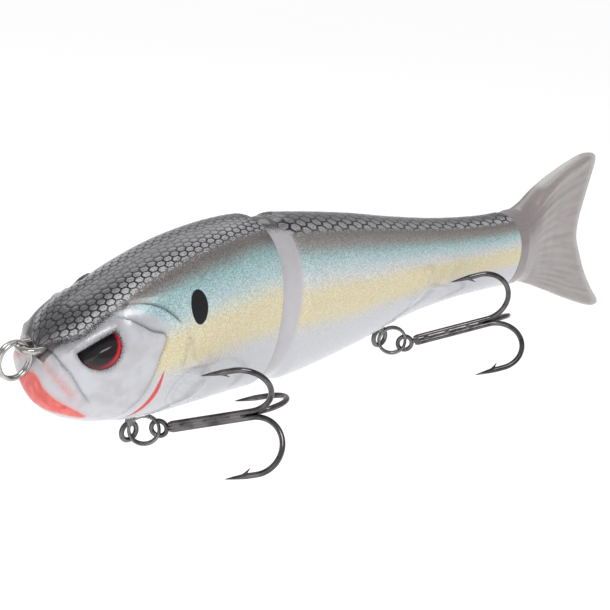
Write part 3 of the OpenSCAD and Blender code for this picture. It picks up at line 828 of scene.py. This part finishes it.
def rear_blocks():
    """Barrel, skin and flat end."""
    girths = np.sort(np.concatenate([np.linspace(-90, 90, 171), slot_girths()]))
    places = np.concatenate([np.linspace(PIN_X, 64.0, 24, endpoint=False),
                             np.linspace(64.0, REAR_END, 290)])
    inset = BARREL_INSET * (1 - smooth(places, *SHOULDER))
    inset = inset + 0.25 * smooth(places, REAR_END - 0.5, REAR_END) ** 2
    points, fields = skin_grid(places, girths, inset, rear_relief)
    fade_silver(fields, places, [60, 110, 130], [0.3, 0.3, 0.6])

    # Barrel round the pin, with slots for the hinge eyes. In a slot, the first columns run along its floor
    ring = points[0]
    columns, floor_columns = 20, 9
    turn = np.linspace(math.pi, math.pi / 2, columns, endpoint=False)[:, None]
    in_slot = np.min(np.abs(ring[:, 2, None] - np.array(HINGE_EYES)), axis=1) < SLOT_H / 2
    jaw = math.pi - SLOT_SWING
    wall = np.linspace(jaw, math.pi / 2, columns - floor_columns + 1)[:-1]
    slot_turn = np.concatenate([np.linspace(0, jaw, floor_columns), wall])[:, None]
    turn = np.where(in_slot[None], slot_turn, turn)
    on_floor = in_slot[None] & (np.arange(columns)[:, None] < floor_columns)
    reach = np.where(on_floor, SLOT_R, ring[None, :, 1])
    barrel = np.stack([PIN_X + reach * np.cos(turn), reach * np.sin(turn),
                       np.broadcast_to(ring[:, 2], (columns, len(girths)))], axis=-1)
    bare = {"girth": np.tile(girths, columns), "bare": np.tile(smooth(girths, *BARE_TOP), columns)}

    # Flat end behind the tail's root
    centre = np.array([REAR_END, 0.0, 1.8])
    inward = np.array([0.97, 0.9, 0.6, 0.3, 0.02])[:, None, None]
    end = centre + (points[-1] - centre)[None] * inward
    end[..., 0] = REAR_END + 0.02
    return [(barrel, bare), (points, fields), (end, {"girth": -60.0})]


def make_shells():
    halves = (("front", front_blocks(), front_paint()), ("rear", rear_blocks(), rear_paint()))
    for half, blocks, material in halves:
        for side_name, side in (("left", -1), ("right", 1)):
            piece = shell_mesh(f"{half}_shell_{side_name}_skin", side, blocks, material)
            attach(piece, f"{half}_body")
            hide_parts(f"{half}_shell_{side_name}")


# ---- Eyes ----

def make_eyes():
    """Domed half moons that end at the rim and dip under the brow."""
    material = eye_material()
    across, up = eye_plane()
    dome_r = (EYE_R**2 + (EYE_TOP - EYE_RIM) ** 2) / (2 * (EYE_TOP - EYE_RIM))
    turn = np.linspace(0, 2 * math.pi, 192, endpoint=False)
    shares = np.concatenate([np.linspace(0.01, 1.0, 36), [1.0]])
    # Rays from a middle inside the half moon, each cut at the rim or under the brow
    middle = np.array([0.9, -1.9])
    ray = np.stack([np.cos(turn), np.sin(turn)], axis=1)
    along_ray = ray @ middle
    to_rim = -along_ray + np.sqrt(along_ray**2 - middle @ middle + EYE_R**2)
    climb = brow_height(ray[:, 0] + BROW_FROM[0], ray[:, 1] + BROW_FROM[1])
    to_brow = (BROW_OVERLAP - brow_height(*middle)) / np.maximum(climb, 1e-6)
    length = np.minimum(to_rim, to_brow)
    flat = middle + shares[:, None, None] * (length[:, None] * ray)[None]
    p, q = flat[..., 0], flat[..., 1]
    away = np.minimum(np.hypot(p, q), EYE_R)
    h = EYE_TOP - dome_r + np.sqrt(dome_r**2 - away**2)
    h = h - BROW_SINK * smooth(brow_height(p, q), -2.6, 0.2)
    h[-1] -= 1.0
    ring = np.hypot(p + 0.42, q - 0.30) / EYE_R
    base = EYE_AT + p[..., None] * across + q[..., None] * up + h[..., None] * EYE_OUT
    count = len(turn)
    faces = grid_faces(len(shares), count, closed_rows=True)
    faces += [tuple(range(count)), tuple((len(shares) - 1) * count + k for k in range(count))]
    # Painted light across the eye, brighter toward its upper, tail-ward side
    fields = {"ring": ring.ravel(), "iris_lit_side": smooth(p + q, -5.0, 4.0).ravel()}
    for name, side in (("left", -1), ("right", 1)):
        points = base.reshape(-1, 3) * np.array([1, side, 1])
        piece = object_from(f"eye_{name}_dome", points, faces, material, fields)
        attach(piece, "front_body")
        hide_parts(f"eye_{name}")


# ---- Wire parts ----

# od is an outer diameter and wire the wire's diameter
LINE_TIE = {"bow_r": 2.4, "wire": 1.3, "end": 13.0}
LINE_RING = {"od": 8.0, "wire": 0.85, "tilt": 28.0, "hang": 2.35}
HOOK_RING = {"od": 6.8, "wire": 0.7}
COIL_PITCH = 0.94
HANGER = {"od": 4.8, "wire": 1.1, "stem": 1.9}
HOOK = {"wire": 1.2, "length": 26.0, "reach": 12.4, "point": 13.0, "spread": 0.72, "eye_od": 4.2,
        "eye_wire": 1.0}
HOOK_TIP = HOOK["length"] - HOOK["point"]
# Start and end of the barb, as distance behind the tip and toward the shank
BARB_FROM, BARB_TO = (3.9, 0.2), (5.4, 1.35)
BRAZE_FROM, BRAZE_TO, BRAZE_R = 1.7, 18.6, 1.02

# Place of each hanger loop, then the headings (yaw, pitch) of its ring and hook, and the hook's roll
SETS = {
    "front": {"at": (27.7, 0.0, -22.5), "ring": (-38, 10), "hook": (-53, 19), "roll": 116, "top": -15.5},
    "rear": {"at": (98.4, 0.0, -14.2), "ring": (-36, -10), "hook": (-36, 19), "roll": 99, "top": -7.5},
}


def split_ring(od, wire):
    """Double coil in the XZ plane about Y: the wire steps from one coil to the other once."""
    gap, step = 0.42, 0.38
    t = np.linspace(gap, 4 * math.pi - gap, 190)
    aside = smooth(t, 2 * math.pi - step, 2 * math.pi + step) - 0.5
    radius = (od - wire) / 2
    path = np.stack([radius * np.cos(t), aside * wire * COIL_PITCH, radius * np.sin(t)], axis=1)
    thickness = wire / 2 * np.minimum(1.0, 0.55 + 0.45 * np.minimum(t - t[0], t[-1] - t) / 0.12)
    return tube(path, thickness, 16)


def loop(od, wire, steps=72):
    """Closed hoop in the XZ plane about Y."""
    t = np.linspace(0, 2 * math.pi, steps, endpoint=False)
    radius = (od - wire) / 2
    path = np.stack([radius * np.cos(t), 0 * t, radius * np.sin(t)], axis=1)
    return tube(path, wire / 2, 18, closed=True)


def heading(yaw, pitch):
    """Unit vector of +X after the turns."""
    return turned([[1.0, 0.0, 0.0]], yaw, pitch)[0]


def hook_wire(spread):
    """One wire of a treble: shank, round bend, and a point with its long cone."""
    wire_r = HOOK["wire"] / 2
    bend_r = (HOOK["reach"] - spread) / 2
    bend_x = HOOK["length"] - bend_r - wire_r
    arc = np.radians(np.linspace(0, 180, 44))
    shank = [(x, spread) for x in np.linspace(2.2, bend_x - 0.4, 26)]
    bend = [(bend_x + bend_r * math.sin(a), spread + bend_r * (1 - math.cos(a))) for a in arc]
    point = [(x, HOOK["reach"]) for x in np.linspace(bend_x - 0.5, HOOK_TIP, 30)]
    path = np.array([(x, 0.0, z) for x, z in shank + bend + point])
    on_point = np.arange(len(path)) >= len(shank) + len(bend)
    from_tip = np.where(on_point, path[:, 0] - HOOK_TIP, 99.0)
    radius = wire_r * np.clip(0.06 + 0.94 * (from_tip / 4.4) ** 0.75, 0.06, 1.0)
    radius[0] *= 0.6
    return tube(path, radius, 20)


def barb():
    """Sliver cut up from the inner side of the point."""
    start, end = [np.array([HOOK_TIP + back, 0.0, HOOK["reach"] - inward])
                  for back, inward in (BARB_FROM, BARB_TO)]
    along = np.linspace(0, 1, 10)
    path = start + (end - start) * along[:, None]
    path[:, 2] -= 0.18 * along**2
    return tube(path, np.linspace(0.42, 0.05, 10), 12)


def braze():
    """Solder that fills the shanks together: a slightly uneven bar."""
    x = np.linspace(BRAZE_FROM, BRAZE_TO, 60)
    radius = BRAZE_R + 0.07 * np.sin(x * 1.9) * np.sin(x * 0.7 + 1)
    radius = radius * np.minimum(1.0, 0.35 + 0.65 * np.minimum(x - x[0], x[-1] - x) / 1.2)
    return tube(np.stack([x, 0 * x, 0 * x], axis=1), radius, 24)


def treble(roll):
    """Three wires rolled about the shank, with an eye that isn't rolled."""
    parts = [loop(HOOK["eye_od"], HOOK["eye_wire"]), braze()]
    for i in range(3):
        for points, faces in (hook_wire(HOOK["spread"]), barb()):
            parts.append((turned(points, roll=roll - 90 + 120 * i), faces))
    return joined(parts)


def make_hook_sets():
    nickel = metal("black_nickel", (0.15, 0.14, 0.145), 0.12, (0.07, 0.066, 0.07))
    dark = metal("dark_wire", (0.20, 0.195, 0.20), 0.2, (0.11, 0.105, 0.11))
    ring_steel = metal("ring_steel", (0.24, 0.235, 0.235), 0.17, (0.13, 0.125, 0.125))
    ring_r = (HOOK_RING["od"] - HOOK_RING["wire"]) / 2
    for name, place in SETS.items():
        at = np.array(place["at"])
        base = HANGER["od"] / 2 - HANGER["wire"] * 0.8
        rise = np.linspace(base, place["top"] - at[2], 20)
        stem_r = HANGER["stem"] / 2 * (1 + 0.12 * bump(rise - base, 0.5))
        stem = tube(np.stack([0 * rise, 0 * rise, rise], axis=1), stem_r, 24)
        points, faces = joined([loop(HANGER["od"], HANGER["wire"]), stem])
        piece = object_from(f"{name}_hanger_wire", points + at, faces, dark)
        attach(piece, f"{name}_body")
        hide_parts(f"{name}_hook_hanger")

        points, faces = split_ring(**HOOK_RING)
        points = turned(points + np.array([ring_r, 0, 0]), *place["ring"]) + at
        piece = object_from(f"{name}_hook_split_ring", points, faces, ring_steel)
        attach(piece, f"{name}_hook_ring")
        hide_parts(f"{name}_hook_ring")

        hook_at = at + 2 * ring_r * heading(*place["ring"])
        points, faces = treble(place["roll"])
        points = turned(points, *place["hook"]) + hook_at
        piece = object_from(f"{name}_treble", points, faces, nickel)
        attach(piece, f"{name}_treble_hook")
        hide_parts(f"{name}_treble_hook")


def make_line_end():
    bright = metal("bright_wire", (0.56, 0.545, 0.525), 0.11, (0.36, 0.35, 0.335))
    bow_r = LINE_TIE["bow_r"]
    arc = np.radians(np.linspace(90, 270, 48))
    legs = np.linspace(LINE_TIE["end"], bow_r + 0.3, 14)
    path = [(x, bow_r, 0) for x in legs]
    path += [(bow_r + bow_r * math.cos(a), bow_r * math.sin(a), 0) for a in arc]
    path += [(x, -bow_r, 0) for x in legs[::-1]]
    points, faces = tube(path, LINE_TIE["wire"] / 2, 20)
    piece = object_from("line_tie_wire", points, faces, bright)
    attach(piece, "front_body")
    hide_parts("line_tie")

    points, faces = split_ring(LINE_RING["od"], LINE_RING["wire"])
    points = turned(points, pitch=90) - np.array([0, 0, LINE_RING["hang"]])
    points = turned(points, pitch=-LINE_RING["tilt"])
    piece = object_from("line_split_ring", points, faces, bright)
    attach(piece, "line_ring")
    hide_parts("line_ring")


# ---- Soft tail ----

# Outlines in the middle plane, as place and height, and the half thickness at each place
TAIL_FOOT = [(136.5, -6.9), (139.5, -7.0), (142.2, -6.8), (148.0, -8.4), (154.8, -10.9), (163.5, -14.3),
             (172.3, -17.4), (177.0, -18.6)]
TAIL_HEAD = [(136.5, 10.5), (139.5, 10.9), (142.4, 11.6), (148.5, 16.2), (155.5, 19.9), (162.0, 22.3),
             (165.0, 22.8)]
TAIL_FORK = [(177.0, -18.6), (179.0, -18.2), (178.4, -16.6), (175.6, -13.8), (171.5, -8.9), (167.5, -2.5),
             (165.5, 1.6), (165.2, 5.6), (166.1, 10.7), (167.7, 17.4), (168.4, 21.0), (167.4, 22.6),
             (165.0, 22.8)]
TAIL_HALF = [(136.5, 6.75), (139.5, 6.6), (142.2, 5.6), (145.5, 4.4), (149.5, 3.1), (154.0, 2.0),
             (159.0, 1.35), (165.0, 1.05), (179.0, 0.75)]
CURVE_POINTS = 400


def even(points):
    """Points evenly spaced along the curve through points."""
    curve = spline(points, 24)
    run = np.concatenate([[0], np.cumsum(np.linalg.norm(np.diff(curve, axis=0), axis=1))])
    at = np.linspace(0, run[-1], CURVE_POINTS)
    return np.stack([np.interp(at, run, curve[:, k]) for k in range(2)], axis=1)


def at_shares(curve, shares):
    """Points at shares of the way along an even curve."""
    places = np.linspace(0, 1, CURVE_POINTS)
    return np.stack([np.interp(shares, places, curve[:, k]) for k in range(2)], axis=1)


def make_tail():
    """Both sides of a grid from the collar to the fork (out) and from the lower edge to the upper (up)."""
    columns, rows = 150, 150
    out = np.linspace(0, 1, columns)[:, None] ** 0.9
    up = (0.5 - 0.5 * np.cos(math.pi * np.linspace(0, 1, rows)))[None]
    foot, head, fork = even(TAIL_FOOT), even(TAIL_HEAD), even(TAIL_FORK)
    low, high = at_shares(foot, out[:, 0])[:, None], at_shares(head, out[:, 0])[:, None]
    far = at_shares(fork, up[0])[None]
    root_z = foot[0, 1] + (head[0, 1] - foot[0, 1]) * up[0]
    root = np.stack([np.full(rows, foot[0, 0]), root_z], axis=1)[None]

    # Patch between the four edges: what the two pairs of edges give, less what the corners give
    s, v = out[..., None], up[..., None]
    corner = ((1 - s) * ((1 - v) * foot[0] + v * head[0]) + s * ((1 - v) * fork[0] + v * fork[-1]))
    flat = (1 - v) * low + v * high + (1 - s) * root + s * far - corner
    x, z = flat[..., 0], flat[..., 1]
    half = np.interp(x, *np.array(TAIL_HALF).T)
    power = np.interp(x, [136.5, 145.0, 160.0], [2.15, 2.2, 6.0])
    across = np.abs(2 * up - 1)
    profile = np.maximum(1 - across**power, 0) ** (1 / power)
    from_end = np.clip((1 - out) / 0.035, 0, 1)
    tip = np.sqrt(from_end * (2 - from_end))
    rays = 0.05 * np.cos(2 * math.pi * 15 * up**0.95) * smooth(out, 0.22, 0.5) * smooth(out, 1.0, 0.85)
    ridge = 0.30 * bump(up - 0.93, 0.035) - 0.12 * bump(up - 0.86, 0.03)
    ridge = ridge * smooth(out, 0.05, 0.3) * smooth(out, 1.0, 0.8)
    y = (half * profile + (rays + ridge) * smooth(profile, 0.0, 0.6)) * tip
    y = np.maximum(y, 0.0)
    y[:, [0, -1]] = 0
    y[-1] = 0

    sides = [np.stack([x, side * y, z], axis=-1).reshape(-1, 3) for side in (-1, 1)]
    count = columns * rows
    faces = grid_faces(columns, rows)
    faces += [tuple(i + count for i in face[::-1]) for face in grid_faces(columns, rows)]
    faces.append(tuple(range(rows)) + tuple(count + r for r in range(rows - 2, 0, -1)))
    ray, outward = [np.broadcast_to(share, x.shape).ravel() for share in (up, out)]
    near_edge = smooth(np.abs(2 * ray - 1), 0.86, 1.0) * smooth(outward, 0.25, 0.5)
    margin = np.maximum(smooth(outward, 0.80, 1.0), near_edge)
    fields = {"ray": np.tile(ray, 2), "out": np.tile(outward, 2), "margin": np.tile(margin, 2)}
    piece = object_from("soft_tail_moulding", np.vstack(sides), faces, tail_material(), fields)
    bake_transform(piece)
    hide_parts("tail_root", "tail_fin")


# ---- Parts inside the body, which keep their CAD shapes ----

def finish_inner_parts():
    steel = metal("inner_steel", (0.62, 0.62, 0.64), 0.3, (0.48, 0.48, 0.50))
    lead = metal("ballast_lead", (0.33, 0.33, 0.35), 0.5, (0.24, 0.24, 0.26), 1.2)
    for name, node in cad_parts.items():
        if node.hide_render:
            continue
        node.data.materials.clear()
        node.data.materials.append(lead if "ballast" in name else steel)


# ---- Floor, light and camera ----

def make_stage():
    low = CAD_BOX[0]
    size, drop = 7.0, 0.11
    bpy.ops.mesh.primitive_grid_add(x_subdivisions=8, y_subdivisions=8, size=size,
                                    location=(0.08, 0, low[2] - drop))
    floor = bpy.context.object
    floor.name = "floor"
    floor.data.materials.append(floor_material())
    world = bpy.data.worlds.new("studio")
    bpy.context.scene.world = world
    world.use_nodes = True
    sky = world.node_tree.nodes["Background"]
    sky.inputs["Color"].default_value = (1.0, 1.0, 1.0, 1.0)
    sky.inputs["Strength"].default_value = 0.48
    view = bpy.context.scene.view_settings
    view.view_transform = "Standard"
    view.look = "None"


def soft_light(name, place, aim, size, watts):
    data = bpy.data.lights.new(name, "AREA")
    data.shape = "RECTANGLE"
    data.size, data.size_y = size
    data.energy = watts
    lamp = bpy.data.objects.new(name, data)
    bpy.context.scene.collection.objects.link(lamp)
    lamp.location = place
    lamp.rotation_mode = "QUATERNION"
    lamp.rotation_quaternion = (Vector(aim) - Vector(place)).to_track_quat("-Z", "Y")


def make_lights():
    aim = (0.07, 0.0, 0.0)
    soft_light("key", (-0.15, -0.35, 0.55), aim, (0.35, 0.25), 1.5)
    soft_light("fill", (-0.45, -0.30, 0.10), aim, (0.5, 0.4), 0.6)
    soft_light("back", (0.25, 0.45, 0.45), aim, (0.5, 0.3), 0.8)


def make_camera():
    """Front left, a little above and slightly rolled."""
    data = bpy.data.cameras.new("camera")
    data.sensor_width = 36.0
    data.lens = 103.87
    data.clip_start, data.clip_end = 0.01, 20.0
    camera = bpy.data.objects.new("camera", data)
    bpy.context.scene.collection.objects.link(camera)
    back = Vector((-0.6706, -0.6706, 0.3173)).normalized()
    right = Vector((0.7275, -0.6782, 0.1041)).normalized()
    up = back.cross(right).normalized()
    right = up.cross(back)
    turn = Matrix((right, up, back)).transposed().to_4x4()
    camera.matrix_world = Matrix.Translation(Vector((-180.3, -253.9, 117.5)) * MM) @ turn
    bpy.context.scene.camera = camera


make_shells()
make_eyes()
make_hook_sets()
make_line_end()
make_tail()
finish_inner_parts()
make_stage()
make_lights()
make_camera()
